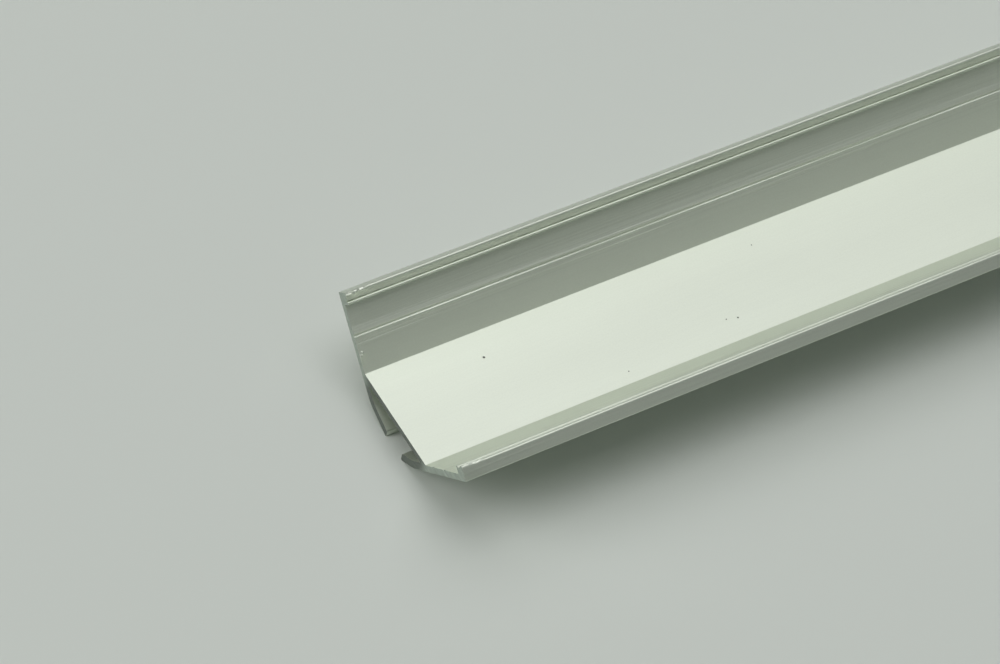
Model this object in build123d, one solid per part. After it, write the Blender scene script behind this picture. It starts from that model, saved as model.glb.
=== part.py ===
"""Corner profile for an LED light strip, drawn in aluminium as one piece.

The section is a V of two thin legs at 45 degrees with a flat floor between
them for the strip.  Each leg ends in a hook.  Below the hook come a fine
groove and a round barb that holds a snap-in cover, and a low rib runs along
the middle of the leg.  Under the floor the legs run on as two fins that bend
towards each other and leave a slot for mounting clips.  The slot sits a
little off the middle, towards -Y.

The length runs along X.  The profile lies on the tips of its two fins, with
the strip floor level and facing up, and the origin is in the middle of that
base.  Everything is in millimetres.
"""
from build123d import *
import math
import os

# Stock
LENGTH = 500.0

# Legs and floor
LEG_ANGLE = 45.0
LEG_LENGTH = 16.0
FLOOR_WIDTH = 10.9
WALL = 0.62
FLOOR_THICKNESS = 0.6
FLOOR_HEIGHT = 3.57

# Low rib on the inner face of a leg, steep below and fading out above
RIB_PLACE = 3.47
RIB_HEIGHT = 0.08
RIB_RISE = 0.08
RIB_FADE = 0.65

# Barb, groove and hook near the tip of a leg
BARB_BELOW_TIP = 1.14
BARB_WIDTH = 0.23
BARB_REACH = 0.65
GROOVE_WIDTH = 0.1
GROOVE_REACH = 0.45
HEEL_RUN = 0.04
HEEL_REACH = 0.58
HOOK_REACH = 0.8

# Fins and the clip slot between them
FIN_START = 2.86
FIN_THICKNESS = 0.75
SLOT_WIDTH = 2.7
SLOT_SHIFT = 0.55

# Roundings of the section
FIN_BEND_RADIUS = 2.5
FIN_TIP_RADIUS = 0.15
BARB_RADIUS = 0.1
HOOK_RADIUS = 0.2
OUTER_TIP_RADIUS = 0.4

# Most of the barb's flat stretches that its roundings may take up
ROUNDING_SHARE = 0.95

LEG_RUN = math.cos(math.radians(LEG_ANGLE))
LEG_RISE = math.sin(math.radians(LEG_ANGLE))
LEG_SLOPE = LEG_RISE / LEG_RUN


def leg_point(along, inward):
    """Place a point by its distance up the leg and in from its inner face."""
    across = FLOOR_WIDTH / 2 + along * LEG_RUN - inward * LEG_RISE
    height = FLOOR_HEIGHT + along * LEG_RISE + inward * LEG_RUN
    return (across, height)


def leg_tip():
    """Return how far up its inner face the leg ends.

    The leg's length is measured on its outer face, from the virtual corner
    where the two outer faces would meet.
    """
    corner_to_floor = (FLOOR_WIDTH / 2 + WALL * LEG_RISE) / LEG_RUN
    return LEG_LENGTH - corner_to_floor


def crossing(point_a, slope_a, point_b, slope_b):
    """Return where two lines cross, each given by a point and its slope."""
    rise = point_b[1] - point_a[1] + slope_a * point_a[0] - slope_b * point_b[0]
    across = rise / (slope_a - slope_b)
    return (across, point_a[1] + slope_a * (across - point_a[0]))


def inner_points():
    """Return the inner face of a leg, from the floor's corner to the hook."""
    tip = leg_tip()
    barb_low = tip - BARB_BELOW_TIP
    barb_top = barb_low + BARB_WIDTH
    groove_end = barb_top + GROOVE_WIDTH
    return {
        "floor_corner": leg_point(0, 0),
        "rib_foot": leg_point(RIB_PLACE - RIB_RISE, 0),
        "rib_crest": leg_point(RIB_PLACE, RIB_HEIGHT),
        "rib_end": leg_point(RIB_PLACE + RIB_FADE, 0),
        "barb_root": leg_point(barb_low, 0),
        "barb_low": leg_point(barb_low, BARB_REACH),
        "barb_top": leg_point(barb_top, BARB_REACH),
        "groove_start": leg_point(barb_top, GROOVE_REACH),
        "groove_end": leg_point(groove_end, GROOVE_REACH),
        "hook_heel": leg_point(groove_end + HEEL_RUN, HEEL_REACH),
        "hook_tip": leg_point(tip, HOOK_REACH),
        "outer_tip": leg_point(tip, -WALL),
    }


def fin_points(slot_edge):
    """Return a fin's outline, from its outer bend round to the floor.

    The fin slopes down to a rounded tip that just touches the base, and its
    end stands upright at the slot's edge.
    """
    outer_bend = leg_point(-FIN_START, -WALL)
    run = outer_bend[0] - slot_edge - FIN_TIP_RADIUS
    drop = outer_bend[1] - FIN_TIP_RADIUS
    angle = math.atan2(drop, run) + math.asin(FIN_TIP_RADIUS / math.hypot(run, drop))
    slope = math.tan(angle)
    lower_tip = (slot_edge, outer_bend[1] - (outer_bend[0] - slot_edge) * slope)
    upper_tip = (slot_edge, lower_tip[1] + FIN_THICKNESS / math.cos(angle))
    leg_inside = leg_point(0, FIN_THICKNESS - WALL)
    underside = (0.0, FLOOR_HEIGHT - FLOOR_THICKNESS)
    return {
        "outer_bend": outer_bend,
        "lower_tip": lower_tip,
        "upper_tip": upper_tip,
        "inner_bend": crossing(leg_inside, LEG_SLOPE, upper_tip, slope),
        "root": crossing(leg_inside, LEG_SLOPE, underside, 0.0),
        "underside": underside,
    }


def half_section(slot_edge):
    """Return the face of one half of the section, on the +Y side."""
    points = {"floor_middle": (0.0, FLOOR_HEIGHT)}
    points.update(inner_points())
    points.update(fin_points(slot_edge))
    barb_room = min(BARB_WIDTH / 2, BARB_REACH - GROOVE_REACH)
    barb_radius = min(BARB_RADIUS, ROUNDING_SHARE * barb_room)
    rounded = {
        "outer_bend": FIN_BEND_RADIUS,
        "inner_bend": FIN_BEND_RADIUS - FIN_THICKNESS,
        "lower_tip": FIN_TIP_RADIUS,
        "upper_tip": FIN_TIP_RADIUS,
        "barb_low": barb_radius,
        "barb_top": barb_radius,
        "hook_tip": HOOK_RADIUS,
        "outer_tip": OUTER_TIP_RADIUS,
    }
    face = make_face(Polyline(*points.values(), close=True))
    for name, radius in rounded.items():
        corner = face.vertices().sort_by_distance((*points[name], 0))[0]
        face = fillet(corner, radius)
    return face


def corner_profile():
    """Extrude the whole section, half of the length to each side."""
    left = half_section(SLOT_WIDTH / 2 - SLOT_SHIFT)
    right = mirror(half_section(SLOT_WIDTH / 2 + SLOT_SHIFT), about=Plane.YZ)
    return extrude(Plane.YZ * (left + right), amount=LENGTH / 2, both=True)


os.makedirs("parts", exist_ok=True)
export_step(corner_profile(), "parts/corner_profile.step")
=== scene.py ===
"""An aluminium corner profile for an LED strip, lying on its two fins.

The profile is drawn again here with smooth roundings, fine lines along the
metal, a few pits, and saw marks and burrs on both cut ends.
X runs along the profile and Z is up.
"""
import math

import bmesh
import bpy
from bpy.props import FloatProperty, FloatVectorProperty, PointerProperty
from mathutils import Matrix, Vector, noise


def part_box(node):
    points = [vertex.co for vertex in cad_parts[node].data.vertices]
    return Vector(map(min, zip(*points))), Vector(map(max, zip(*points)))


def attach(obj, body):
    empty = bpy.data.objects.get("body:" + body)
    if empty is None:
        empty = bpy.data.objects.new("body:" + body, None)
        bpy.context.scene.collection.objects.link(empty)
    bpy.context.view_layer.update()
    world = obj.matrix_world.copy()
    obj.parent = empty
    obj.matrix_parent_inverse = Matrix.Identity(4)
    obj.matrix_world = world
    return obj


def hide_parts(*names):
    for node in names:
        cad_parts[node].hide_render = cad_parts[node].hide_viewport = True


bl_info = {
    "name": "Corner Profile",
    "version": (1, 0, 0),
    "blender": (4, 5, 0),
    "location": "3D View > Sidebar > Profile",
    "description": "Draws an aluminium corner profile for an LED strip and its studio",
    "category": "Add Mesh",
}

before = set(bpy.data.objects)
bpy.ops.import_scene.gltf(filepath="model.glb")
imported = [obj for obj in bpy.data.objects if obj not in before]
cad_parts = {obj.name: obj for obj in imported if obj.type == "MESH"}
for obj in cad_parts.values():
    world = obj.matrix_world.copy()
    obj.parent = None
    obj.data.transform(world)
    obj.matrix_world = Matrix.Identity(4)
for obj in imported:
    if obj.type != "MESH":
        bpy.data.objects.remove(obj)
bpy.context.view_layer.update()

MM = 0.001
NODE = "corner_profile"
BODY = "root"


# Settings that a user would change


def length(name, description, millimetres):
    """A size of the section, stored in metres."""
    return FloatProperty(
        name=name,
        description=description,
        default=millimetres * MM,
        min=0.0,
        precision=5,
        unit="LENGTH",
    )


def colour(name, description, rgb):
    """A colour, as linear red, green and blue."""
    return FloatVectorProperty(
        name=name,
        description=description,
        default=rgb,
        min=0.0,
        max=1.0,
        subtype="COLOR",
    )


def power(name, description, watts):
    """The power of a lamp."""
    return FloatProperty(name=name, description=description, default=watts, min=0.0)


class ProfileSettings(bpy.types.PropertyGroup):
    """The section of the profile and its finish."""

    leg_length: length("Leg length", "Outer face of a leg, from the corner", 16.0)
    floor_width: length("Floor width", "Width of the floor for the strip", 10.9)
    floor_height: length("Floor height", "Floor above the tips of the fins", 3.57)
    floor_thickness: length("Floor thickness", "Thickness of the floor plate", 0.6)
    wall: length("Wall", "Thickness of a leg", 0.62)
    rib_place: length("Rib place", "Distance of the low rib up the leg", 3.72)
    rib_height: length("Rib height", "How far the rib stands in from the leg", 0.06)
    score_depth: length("Score depth", "Depth of the score line below the rib", 0.07)
    barb_reach: length("Barb reach", "How far the barb stands in from the leg", 0.74)
    hook_reach: length("Hook reach", "How far the hook stands in from the leg", 0.8)
    fin_thickness: length("Fin thickness", "Thickness of the two fins", 0.75)
    slot_width: length("Slot width", "Gap between the tips of the fins", 2.7)
    slot_shift: length("Slot shift", "How far the slot sits off the middle", 0.55)
    metal: colour("Metal", "Colour of the drawn aluminium", (0.84, 0.88, 0.79))
    sawn_metal: colour("Sawn metal", "Colour of the cut ends", (0.56, 0.62, 0.555))


class StudioSettings(bpy.types.PropertyGroup):
    """The floor, the light and the camera."""

    floor: colour("Floor", "Colour of the pale floor", (0.67, 0.70, 0.665))
    sky: colour("Sky", "Colour of the light from all sides", (0.06, 0.075, 0.062))
    box_power: power("Soft box power", "Large soft box above, a little behind", 37.0)
    top_power: power("Top light power", "Soft light straight above", 17.0)
    rear_power: power("Rear light power", "Soft light beyond the near cut end", 42.0)
    fill_power: power("Fill light power", "Weak soft light from the front", 3.8)
    lens: FloatProperty(
        name="Lens", description="Focal length in millimetres", default=155.4, min=1.0
    )
    camera_roll: FloatProperty(
        name="Camera roll",
        description="Turn of the camera about its line of sight",
        default=math.radians(12.14),
        subtype="ANGLE",
    )
    camera_place: FloatVectorProperty(
        name="Camera place",
        description="Where the camera stands",
        default=(-0.389943, -0.178826, 0.307201),
        subtype="TRANSLATION",
        unit="LENGTH",
    )
    camera_aim: FloatVectorProperty(
        name="Camera aim",
        description="Point in the middle of the view",
        default=(-0.236623, 0.004464, 0.003591),
        subtype="TRANSLATION",
        unit="LENGTH",
    )


# The section, drawn on the +Y side and mirrored for the other. Runs and
# widths are measured up the leg, and reaches in from its inner face.

LEG_ANGLE = math.radians(45.0)
LEG_RUN = math.cos(LEG_ANGLE)
LEG_RISE = math.sin(LEG_ANGLE)

BARB_BELOW_TIP = 1.14 * MM
BARB_WIDTH = 0.23 * MM
GROOVE_WIDTH = 0.07 * MM
GROOVE_REACH = 0.45 * MM
HEEL_RUN = 0.06 * MM
HEEL_REACH = 0.58 * MM
SCORE_RUN = 0.085 * MM
SCORE_FLOOR = 0.08 * MM
RIB_RISE = 0.12 * MM
RIB_FADE = 0.65 * MM
FIN_START = 2.86 * MM

FLOOR_CORNER_RADIUS = 0.06 * MM
FINE_RADIUS = 0.02 * MM
BARB_ROOT_RADIUS = 0.05 * MM
BARB_RADIUS = 0.11 * MM
HOOK_RADIUS = 0.2 * MM
OUTER_TIP_RADIUS = 0.12 * MM
FIN_BEND_RADIUS = 2.5 * MM
FIN_TIP_RADIUS = 0.15 * MM
ROUNDING_STEPS = 10

# An edge that runs further than this along X is one of the long edges
LONG_EDGE_RUN = 1.0 * MM
# A face whose normal leans further than this towards X is on a cut end
CUT_FACE_NORMAL = 0.5
# Edges that turn by less than this are shaded smooth
SMOOTH_ANGLE = math.radians(20)

# Burrs that the saw left: distance in from the cut end, distance up the
# leg, how far in from the leg, reach and height, all in millimetres
BURRS = (
    (0.2, 7.5, 0.75, 0.9, 0.18),
    (1.1, 7.6, 0.8, 0.7, 0.16),
    (1.9, 7.6, 0.8, 0.45, 0.13),
    (0.1, 6.6, 0.6, 0.3, 0.08),
    (0.4, 1.86, 0.0, 0.26, 0.16),
    (0.1, 1.6, 0.0, 0.26, 0.14),
    (0.1, 4.9, 0.0, 0.3, 0.03),
)
BURR_STEPS = 4
# Size of a burr's crumples, and its mean share of the full height
BURR_GRAIN = 0.17 * MM
BURR_MEAN = 0.5
# Points this close to a dividing plane count as on it
CUT_TOLERANCE = 1e-8
# Points closer together than this become one
MERGE_DISTANCE = 0.0005 * MM


# The finish. A noise's scale is in waves per metre along X, Y and Z.

# Most of a noise lies between these values
NOISE_RANGE = (0.3, 0.7)
GRAIN_RANGE = (0.25, 0.75)

# The drawing lines grow to full strength between the first two places and
# weaken between the last two, and keep these shares of it below and above.
# A place is height plus distance from the middle of the section.
LINES_START = 12.2 * MM
LINES_FULL = 13.3 * MM
LINES_FADE = 14.2 * MM
LINES_END = 15.6 * MM
LINES_BELOW = 0.05
LINES_ABOVE = 0.35
LINE_SCALE = (45.0, 4400.0, 4400.0)
LINE_SHADE = 0.08
LINE_DEPTH = 0.012 * MM

GRAIN_SCALE = (5500.0, 7000.0, 7000.0)
GRAIN_SHADE = (-0.015, 0.015)
GRAIN_DEPTH = 0.002 * MM

CLOUD_SCALE = (30.0, 160.0, 160.0)
CLOUD_SHADE = (0.955, 0.985)

# Dark pits in the strip floor: place along, place across and radius, in
# millimetres
PITS = (
    (-239.36, 2.63, 0.13),
    (-215.91, -3.19, 0.1),
    (-217.0, -2.91, 0.075),
    (-210.24, 3.44, 0.07),
    (-228.24, -4.2, 0.07),
    (-168.3, 1.1, 0.06),
    (-97.5, -2.4, 0.08),
    (-41.2, 3.9, 0.05),
    (36.8, 0.6, 0.09),
    (121.4, -3.6, 0.06),
    (188.5, 2.2, 0.07),
    (236.1, -1.2, 0.05),
)
# Share of a pit's radius that is as dark and deep as its middle
PIT_CORE = 0.6
PIT_SHADE = 0.15
PIT_DEPTH = 0.03 * MM

DRAWN_ROUGHNESS = (0.55, 0.49)

# Painted shade: the cut ends are darkened out to the first distance from the middle of
# the section, low down where they face the shadowed floor, and keep their own colour
# on the legs from the second
PAINTED_SHADE_END = 4.6 * MM
UNSHADED_CUT_START = 5.7 * MM
PAINTED_CUT_SHADE = 0.47
SAW_MARK_SCALE = (800.0, 900.0, 6000.0)
SAW_MARK_SHADE = (0.67, 1.0)
SAW_MARK_DEPTH = 0.02 * MM
SAWN_ROUGHNESS = (0.5, 0.62)


# The studio, in metres

# Direction of each lamp from the near part of the profile, and its width
LAMPS = {
    "soft_box": ((0.16, 0.3, 0.94), 3.5),
    "top_light": ((0.0, 0.0, 1.0), 2.0),
    "rear_light": ((-0.85, 0.3, 0.55), 2.0),
    "fill_light": ((0.37, -0.6, 0.7), 2.5),
}
NEAR_PART = Vector((-0.2, 0.0, 0.0))
LAMP_DISTANCE = 3.0

STAGE_HALF_WIDTH = 15.0
STAGE_ROUGHNESS = 0.8
STAGE_SPECULAR = 0.2
NEAREST_VIEW = 0.01


def leg_point(size, along, inward):
    """Place a point by its distance up the leg and in from its inner face."""
    across = size.floor_width / 2 + along * LEG_RUN - inward * LEG_RISE
    height = size.floor_height + along * LEG_RISE + inward * LEG_RUN
    return Vector((0.0, across, height))


def crossing(point_a, slope_a, point_b, slope_b):
    """Return where two lines of the section cross."""
    rise = point_b.z - point_a.z + slope_a * point_a.y - slope_b * point_b.y
    across = rise / (slope_a - slope_b)
    return Vector((0.0, across, point_a.z + slope_a * (across - point_a.y)))


def leg_corners(size):
    """List a leg's corners from the floor to its outer tip, with their radii."""
    tip = size.leg_length - (size.floor_width / 2 + size.wall * LEG_RISE) / LEG_RUN
    barb_low = tip - BARB_BELOW_TIP
    barb_top = barb_low + BARB_WIDTH
    groove = barb_top + GROOVE_WIDTH
    score = size.rib_place - RIB_RISE - SCORE_FLOOR
    return [
        (leg_point(size, 0, 0), FLOOR_CORNER_RADIUS),
        (leg_point(size, score - SCORE_RUN, 0), FINE_RADIUS),
        (leg_point(size, score, -size.score_depth), FINE_RADIUS),
        (leg_point(size, score + SCORE_FLOOR, -size.score_depth), FINE_RADIUS),
        (leg_point(size, size.rib_place, size.rib_height), FINE_RADIUS),
        (leg_point(size, size.rib_place + RIB_FADE, 0), 0),
        (leg_point(size, barb_low, 0), BARB_ROOT_RADIUS),
        (leg_point(size, barb_low, size.barb_reach), BARB_RADIUS),
        (leg_point(size, barb_top, size.barb_reach), BARB_RADIUS),
        (leg_point(size, groove, GROOVE_REACH), 0),
        (leg_point(size, groove + HEEL_RUN, HEEL_REACH), FINE_RADIUS),
        (leg_point(size, tip, size.hook_reach), HOOK_RADIUS),
        (leg_point(size, tip, -size.wall), OUTER_TIP_RADIUS),
    ]


def fin_corners(size, slot_edge):
    """List a fin's corners from its outer bend to the floor's underside."""
    bend = leg_point(size, -FIN_START, -size.wall)
    run = bend.y - slot_edge - FIN_TIP_RADIUS
    drop = bend.z - FIN_TIP_RADIUS
    angle = math.atan2(drop, run) + math.asin(FIN_TIP_RADIUS / math.hypot(run, drop))
    slope = math.tan(angle)
    lower = Vector((0.0, slot_edge, bend.z - (bend.y - slot_edge) * slope))
    upper = lower + Vector((0.0, 0.0, size.fin_thickness / math.cos(angle)))
    inside = leg_point(size, 0, size.fin_thickness - size.wall)
    underside = Vector((0.0, 0.0, size.floor_height - size.floor_thickness))
    leg_slope = LEG_RISE / LEG_RUN
    inner_radius = FIN_BEND_RADIUS - size.fin_thickness
    return [
        (bend, FIN_BEND_RADIUS),
        (lower, FIN_TIP_RADIUS),
        (upper, FIN_TIP_RADIUS),
        (crossing(inside, leg_slope, upper, slope), inner_radius),
        (crossing(inside, leg_slope, underside, 0.0), FLOOR_CORNER_RADIUS),
    ]


def section_corners(size):
    """List the whole section's corners, once round."""
    rear_slot = size.slot_width / 2 - size.slot_shift
    front_slot = size.slot_width / 2 + size.slot_shift
    rear = leg_corners(size) + fin_corners(size, rear_slot)
    front = leg_corners(size) + fin_corners(size, front_slot)
    mirrored = [(Vector((0.0, -point.y, point.z)), radius) for point, radius in front]
    return rear + mirrored[::-1]


# Mesh tools


def verts_among(parts):
    """Pick the vertices out of a list of mesh parts."""
    return [part for part in parts if isinstance(part, bmesh.types.BMVert)]


def on_cut_end(face):
    """Tell whether a face is on a cut end."""
    return abs(face.normal.x) > CUT_FACE_NORMAL


def runs_along(edge):
    """Tell whether an edge runs along the profile."""
    start, end = edge.verts
    return abs(start.co.x - end.co.x) > LONG_EDGE_RUN


def long_edge(mesh, point):
    """Find the edge that runs the whole length through a corner."""

    def distance(edge):
        return max((vert.co.yz - point.yz).length for vert in edge.verts)

    return min(filter(runs_along, mesh.edges), key=distance)


def round_long_edges(mesh, corners):
    """Round the long edges, each with its own radius."""
    count = len(corners)
    for index, (point, radius) in enumerate(corners):
        if radius == 0:
            continue
        before = (corners[index - 1][0] - point).normalized()
        after = (corners[(index + 1) % count][0] - point).normalized()
        half_turn = (math.pi - before.angle(after)) / 2
        bmesh.ops.bevel(
            mesh,
            geom=[long_edge(mesh, point)],
            offset=radius * math.tan(half_turn),
            offset_type="OFFSET",
            segments=ROUNDING_STEPS,
            profile=0.5,
            affect="EDGES",
            clamp_overlap=False,
            material=-1,
        )


def in_fixed_order(mesh):
    """Rebuild a mesh with its faces and edges in an order that never varies.

    Extruding and rounding leave them in another order on each run, and a cut
    through an edge depends on which of its ends comes first.
    """
    mesh.verts.index_update()
    rings = sorted([vert.index for vert in face.verts] for face in mesh.faces)
    ordered = bmesh.new()
    verts = [ordered.verts.new(vert.co) for vert in mesh.verts]
    for ring in rings:
        ordered.faces.new([verts[index] for index in ring])
    mesh.free()
    ordered.normal_update()
    return ordered


def faces_near(mesh, centre, reach):
    """Find the side faces that come within reach of a point."""
    found = []
    for face in mesh.faces:
        corners = [vert.co for vert in face.verts]
        closest = centre.copy()
        for axis in range(3):
            closest[axis] = max(closest[axis], min(corner[axis] for corner in corners))
            closest[axis] = min(closest[axis], max(corner[axis] for corner in corners))
        if (closest - centre).length < reach and not on_cut_end(face):
            found.append(face)
    return found


def raise_burr(mesh, centre, uphill, inward, reach, height):
    """Divide the faces around a point and crumple them a little inwards."""
    faces = faces_near(mesh, centre, reach)
    edges = {edge for face in faces for edge in face.edges}
    verts = {vert for face in faces for vert in face.verts}
    patch = [*verts, *edges, *faces]
    for direction in (Vector((1, 0, 0)), uphill):
        for step in range(-BURR_STEPS, BURR_STEPS + 1):
            point = centre + direction * (reach * step / BURR_STEPS)
            patch = bmesh.ops.bisect_plane(
                mesh,
                geom=patch,
                plane_co=point,
                plane_no=direction,
                dist=CUT_TOLERANCE,
            )["geom"]
    for vert in verts_among(patch):
        distance = (vert.co - centre).length
        if distance < reach:
            ragged = BURR_MEAN + noise.noise(vert.co / BURR_GRAIN)
            vert.co += inward * height * ragged * (1 - distance / reach)


def rag_cut_ends(mesh, size, low, high):
    """Leave burrs on both legs at both cut ends."""
    for end, into in ((low.x, 1), (high.x, -1)):
        for side in (1, -1):
            uphill = Vector((0, side * LEG_RUN, LEG_RISE))
            inward = Vector((0, -side * LEG_RISE, LEG_RUN))
            for depth, along, reach_in, reach, height in BURRS:
                centre = leg_point(size, along * MM, reach_in * MM)
                centre.x = end + into * depth * MM
                centre.y *= side
                raise_burr(mesh, centre, uphill, inward, reach * MM, height * MM)


def add_piece(mesh, name, materials):
    """Turn a bmesh into an object in the scene."""
    data = bpy.data.meshes.new(name)
    mesh.to_mesh(data)
    mesh.free()
    for material in materials:
        data.materials.append(material)
    piece = bpy.data.objects.new(name, data)
    bpy.context.scene.collection.objects.link(piece)
    return piece


# Materials


class MaterialTree:
    """A new material, with short calls for the nodes that it needs."""

    def __init__(self, name):
        self.material = bpy.data.materials.new(name)
        self.material.use_nodes = True
        self.nodes = self.material.node_tree.nodes
        self.links = self.material.node_tree.links

    def feed(self, socket, value):
        """Link a socket to another, or give it a number or a colour."""
        if isinstance(value, bpy.types.NodeSocket):
            self.links.new(value, socket)
        else:
            socket.default_value = value

    def shade(self, values):
        """Feed the shader's inputs, by their names."""
        shader = self.nodes["Principled BSDF"]
        for name, value in values.items():
            self.feed(shader.inputs[name], value)

    def place(self):
        """The place of a point on the object."""
        return self.nodes.new("ShaderNodeTexCoord").outputs["Object"]

    def split(self, vector):
        """The three parts of a vector, by the names X, Y and Z."""
        node = self.nodes.new("ShaderNodeSeparateXYZ")
        self.feed(node.inputs["Vector"], vector)
        return node.outputs

    def stretched_noise(self, place, scale, detail):
        """A noise with its own scale along each axis."""
        mapping = self.nodes.new("ShaderNodeMapping")
        self.feed(mapping.inputs["Vector"], place)
        self.feed(mapping.inputs["Scale"], scale)
        texture = self.nodes.new("ShaderNodeTexNoise")
        self.feed(texture.inputs["Vector"], mapping.outputs["Vector"])
        self.feed(texture.inputs["Scale"], 1.0)
        self.feed(texture.inputs["Detail"], detail)
        return texture.outputs["Fac"]

    def remap(self, value, from_range, to_range):
        """Spread a value between two others, and hold it there."""
        node = self.nodes.new("ShaderNodeMapRange")
        self.feed(node.inputs["Value"], value)
        names = ("From Min", "From Max", "To Min", "To Max")
        for name, limit in zip(names, (*from_range, *to_range)):
            self.feed(node.inputs[name], limit)
        return node.outputs["Result"]

    def calculate(self, operation, first, second=0.0):
        """A Math node on sockets or numbers."""
        node = self.nodes.new("ShaderNodeMath")
        node.operation = operation
        self.feed(node.inputs[0], first)
        self.feed(node.inputs[1], second)
        return node.outputs["Value"]

    def distance(self, place, point):
        """How far a place is from a fixed point."""
        node = self.nodes.new("ShaderNodeVectorMath")
        node.operation = "DISTANCE"
        self.feed(node.inputs[0], place)
        self.feed(node.inputs[1], point)
        return node.outputs["Value"]

    def tinted(self, rgb, shade):
        """A colour that a shade of less than 1 darkens."""
        node = self.nodes.new("ShaderNodeMix")
        node.data_type = "RGBA"
        self.feed(node.inputs["A"], (0.0, 0.0, 0.0, 1.0))
        self.feed(node.inputs["B"], (*rgb, 1.0))
        self.feed(node.inputs["Factor"], shade)
        return node.outputs["Result"]

    def bump(self, height, distance, normal=None):
        """Raise the surface by a height, on top of an earlier bump."""
        node = self.nodes.new("ShaderNodeBump")
        self.feed(node.inputs["Height"], height)
        self.feed(node.inputs["Distance"], distance)
        if normal is not None:
            self.feed(node.inputs["Normal"], normal)
        return node.outputs["Normal"]


def drawing_lines(tree, place):
    """Fine lines along the length, strongest just below the score line."""
    lines = tree.stretched_noise(place, LINE_SCALE, detail=2.0)
    parts = tree.split(place)
    outwards = tree.calculate("ABSOLUTE", parts["Y"])
    up_leg = tree.calculate("ADD", outwards, parts["Z"])
    rising = tree.remap(up_leg, (LINES_START, LINES_FULL), (LINES_BELOW, 1.0))
    falling = tree.remap(up_leg, (LINES_FADE, LINES_END), (1.0, LINES_ABOVE))
    strength = tree.calculate("MULTIPLY", rising, falling)
    spread = tree.remap(lines, NOISE_RANGE, (-1.0, 1.0))
    return tree.calculate("MULTIPLY", spread, strength)


def pit_cover(tree, place, height):
    """1 on the sound metal and 0 inside a pit."""
    cover = None
    for along, across, radius in PITS:
        gap = tree.distance(place, (along * MM, across * MM, height))
        sound = tree.remap(gap, (PIT_CORE * radius * MM, radius * MM), (0.0, 1.0))
        cover = sound if cover is None else tree.calculate("MINIMUM", cover, sound)
    return cover


def drawn_aluminium(rgb, floor_height):
    """Satin aluminium with fine lines along the length, a fine grain and pits."""
    tree = MaterialTree("drawn_aluminium")
    place = tree.place()
    lines = drawing_lines(tree, place)
    grain = tree.stretched_noise(place, GRAIN_SCALE, detail=1.0)
    cloud = tree.stretched_noise(place, CLOUD_SCALE, detail=2.0)
    cover = pit_cover(tree, place, floor_height)

    shade = tree.remap(cloud, NOISE_RANGE, CLOUD_SHADE)
    speckle = tree.remap(grain, GRAIN_RANGE, GRAIN_SHADE)
    shade = tree.calculate("ADD", shade, speckle)
    streaks = tree.calculate("MULTIPLY", lines, LINE_SHADE)
    shade = tree.calculate("ADD", shade, streaks)
    pits = tree.remap(cover, (0.0, 1.0), (PIT_SHADE, 1.0))
    shade = tree.calculate("MULTIPLY", shade, pits)

    normal = tree.bump(lines, LINE_DEPTH)
    normal = tree.bump(grain, GRAIN_DEPTH, normal)
    normal = tree.bump(cover, PIT_DEPTH, normal)
    tree.shade(
        {
            "Base Color": tree.tinted(rgb, shade),
            "Metallic": 1.0,
            "Roughness": tree.remap(lines, (-1.0, 1.0), DRAWN_ROUGHNESS),
            "Normal": normal,
        }
    )
    return tree.material


def sawn_aluminium(rgb):
    """Aluminium as the saw left it, with marks across the cut and painted shade on the
    middle of each cut end.
    """
    tree = MaterialTree("sawn_aluminium")
    place = tree.place()
    marks = tree.stretched_noise(place, SAW_MARK_SCALE, detail=3.0)
    outwards = tree.calculate("ABSOLUTE", tree.split(place)["Y"])
    # Painted shade: the floor plate's and fins' cut ends are darkened towards the
    # middle of the section
    cut = (PAINTED_SHADE_END, UNSHADED_CUT_START)
    painted_shade = tree.remap(outwards, cut, (PAINTED_CUT_SHADE, 1.0))
    shade = tree.remap(marks, NOISE_RANGE, SAW_MARK_SHADE)
    shade = tree.calculate("MULTIPLY", shade, painted_shade)
    tree.shade(
        {
            "Base Color": tree.tinted(rgb, shade),
            "Metallic": 1.0,
            "Roughness": tree.remap(marks, NOISE_RANGE, SAWN_ROUGHNESS),
            "Normal": tree.bump(marks, SAW_MARK_DEPTH),
        }
    )
    return tree.material


def pale_floor(rgb):
    """A plain matt floor."""
    tree = MaterialTree("pale_floor")
    tree.shade(
        {
            "Base Color": (*rgb, 1.0),
            "Roughness": STAGE_ROUGHNESS,
            "Specular IOR Level": STAGE_SPECULAR,
        }
    )
    return tree.material


# Operators


class PROFILE_OT_draw(bpy.types.Operator):
    """Draw the profile as one piece with smooth roundings"""

    bl_idname = "profile.draw"
    bl_label = "Draw Profile"

    def execute(self, context):
        size = context.scene.profile_settings
        low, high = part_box(NODE)
        corners = section_corners(size)
        mesh = bmesh.new()
        ring = [mesh.verts.new((low.x, point.y, point.z)) for point, _ in corners]
        cut = mesh.faces.new(ring)
        swept = bmesh.ops.extrude_face_region(mesh, geom=[cut])["geom"]
        run = (high.x - low.x, 0, 0)
        bmesh.ops.translate(mesh, verts=verts_among(swept), vec=run)
        mesh = in_fixed_order(mesh)
        round_long_edges(mesh, corners)
        mesh.normal_update()
        rag_cut_ends(mesh, size, low, high)
        bmesh.ops.remove_doubles(mesh, verts=mesh.verts, dist=MERGE_DISTANCE)
        mesh = in_fixed_order(mesh)
        for face in mesh.faces:
            face.smooth = True
            face.material_index = 1 if on_cut_end(face) else 0
        for edge in mesh.edges:
            edge.smooth = edge.calc_face_angle(0.0) < SMOOTH_ANGLE
        bmesh.ops.recalc_face_normals(mesh, faces=mesh.faces)
        materials = [
            drawn_aluminium(size.metal, size.floor_height),
            sawn_aluminium(size.sawn_metal),
        ]
        piece = add_piece(mesh, "profile", materials)
        weighted = piece.modifiers.new("even_shading", "WEIGHTED_NORMAL")
        weighted.keep_sharp = True
        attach(piece, BODY)
        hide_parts(NODE)
        return {"FINISHED"}


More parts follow.
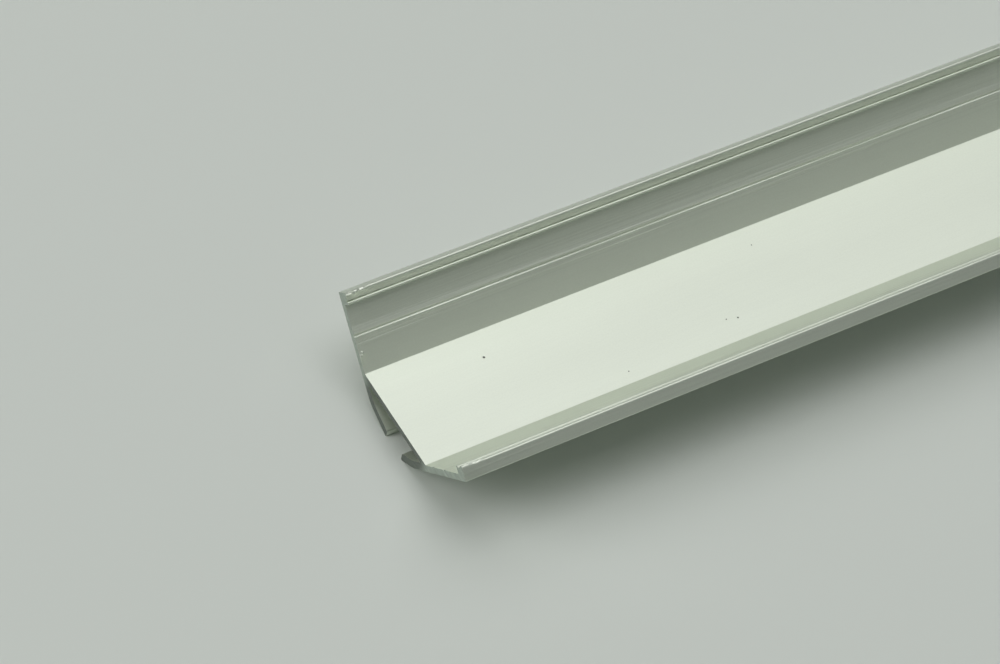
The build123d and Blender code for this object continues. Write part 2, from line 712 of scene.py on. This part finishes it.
class PROFILE_OT_stage(bpy.types.Operator):
    """Set up the pale floor, the soft light and the camera"""

    bl_idname = "profile.stage"
    bl_label = "Set Up Studio"

    def execute(self, context):
        studio = context.scene.studio_settings
        self.add_floor(studio)
        self.add_light(studio)
        self.add_camera(studio)
        context.scene.view_settings.view_transform = "Standard"
        return {"FINISHED"}

    def add_floor(self, studio):
        """A wide floor at the height of the fins' tips."""
        mesh = bmesh.new()
        bmesh.ops.create_grid(mesh, x_segments=1, y_segments=1, size=STAGE_HALF_WIDTH)
        floor = add_piece(mesh, "studio_floor", [pale_floor(studio.floor)])

    def add_light(self, studio):
        """A weak even sky and four square soft lights."""
        world = bpy.data.worlds.new("studio_sky")
        world.use_nodes = True
        background = world.node_tree.nodes["Background"]
        background.inputs["Color"].default_value = (*studio.sky, 1.0)
        bpy.context.scene.world = world
        watts = {
            "soft_box": studio.box_power,
            "top_light": studio.top_power,
            "rear_light": studio.rear_power,
            "fill_light": studio.fill_power,
        }
        for name, (direction, width) in LAMPS.items():
            self.add_lamp(name, direction, width, watts[name])

    def add_lamp(self, name, direction, width, watts):
        """A square lamp that shines on the near part of the profile."""
        lamp = bpy.data.lights.new(name, "AREA")
        lamp.shape = "SQUARE"
        lamp.size = width
        lamp.energy = watts
        box = bpy.data.objects.new(name, lamp)
        towards = Vector(direction).normalized()
        box.location = NEAR_PART + LAMP_DISTANCE * towards
        box.rotation_euler = towards.to_track_quat("Z", "Y").to_euler()
        box.visible_camera = False
        bpy.context.scene.collection.objects.link(box)

    def add_camera(self, studio):
        """A camera at the photograph's viewing angle."""
        lens = bpy.data.cameras.new("camera")
        lens.lens = studio.lens
        lens.clip_start = NEAREST_VIEW
        camera = bpy.data.objects.new("camera", lens)
        place = Vector(studio.camera_place)
        sight = Vector(studio.camera_aim) - place
        level = sight.to_track_quat("-Z", "Y").to_matrix().to_4x4()
        roll = Matrix.Rotation(studio.camera_roll, 4, "Z")
        camera.matrix_world = Matrix.Translation(place) @ level @ roll
        bpy.context.scene.collection.objects.link(camera)
        bpy.context.scene.camera = camera


class PROFILE_PT_panel(bpy.types.Panel):
    """Buttons and sizes of the profile"""

    bl_label = "Corner Profile"
    bl_idname = "PROFILE_PT_panel"
    bl_space_type = "VIEW_3D"
    bl_region_type = "UI"
    bl_category = "Profile"

    def draw(self, context):
        layout = self.layout
        layout.operator(PROFILE_OT_draw.bl_idname)
        layout.operator(PROFILE_OT_stage.bl_idname)
        scene = context.scene
        for settings in (scene.profile_settings, scene.studio_settings):
            box = layout.box()
            for name in settings.bl_rna.properties.keys():
                if name not in ("rna_type", "name"):
                    box.prop(settings, name)


CLASSES = (
    ProfileSettings,
    StudioSettings,
    PROFILE_OT_draw,
    PROFILE_OT_stage,
    PROFILE_PT_panel,
)


def register():
    for item in CLASSES:
        bpy.utils.register_class(item)
    bpy.types.Scene.profile_settings = PointerProperty(type=ProfileSettings)
    bpy.types.Scene.studio_settings = PointerProperty(type=StudioSettings)


def unregister():
    del bpy.types.Scene.studio_settings
    del bpy.types.Scene.profile_settings
    for item in reversed(CLASSES):
        bpy.utils.unregister_class(item)


def main():
    register()
    bpy.ops.profile.draw()
    bpy.ops.profile.stage()


if __name__ == "__main__":
    main()
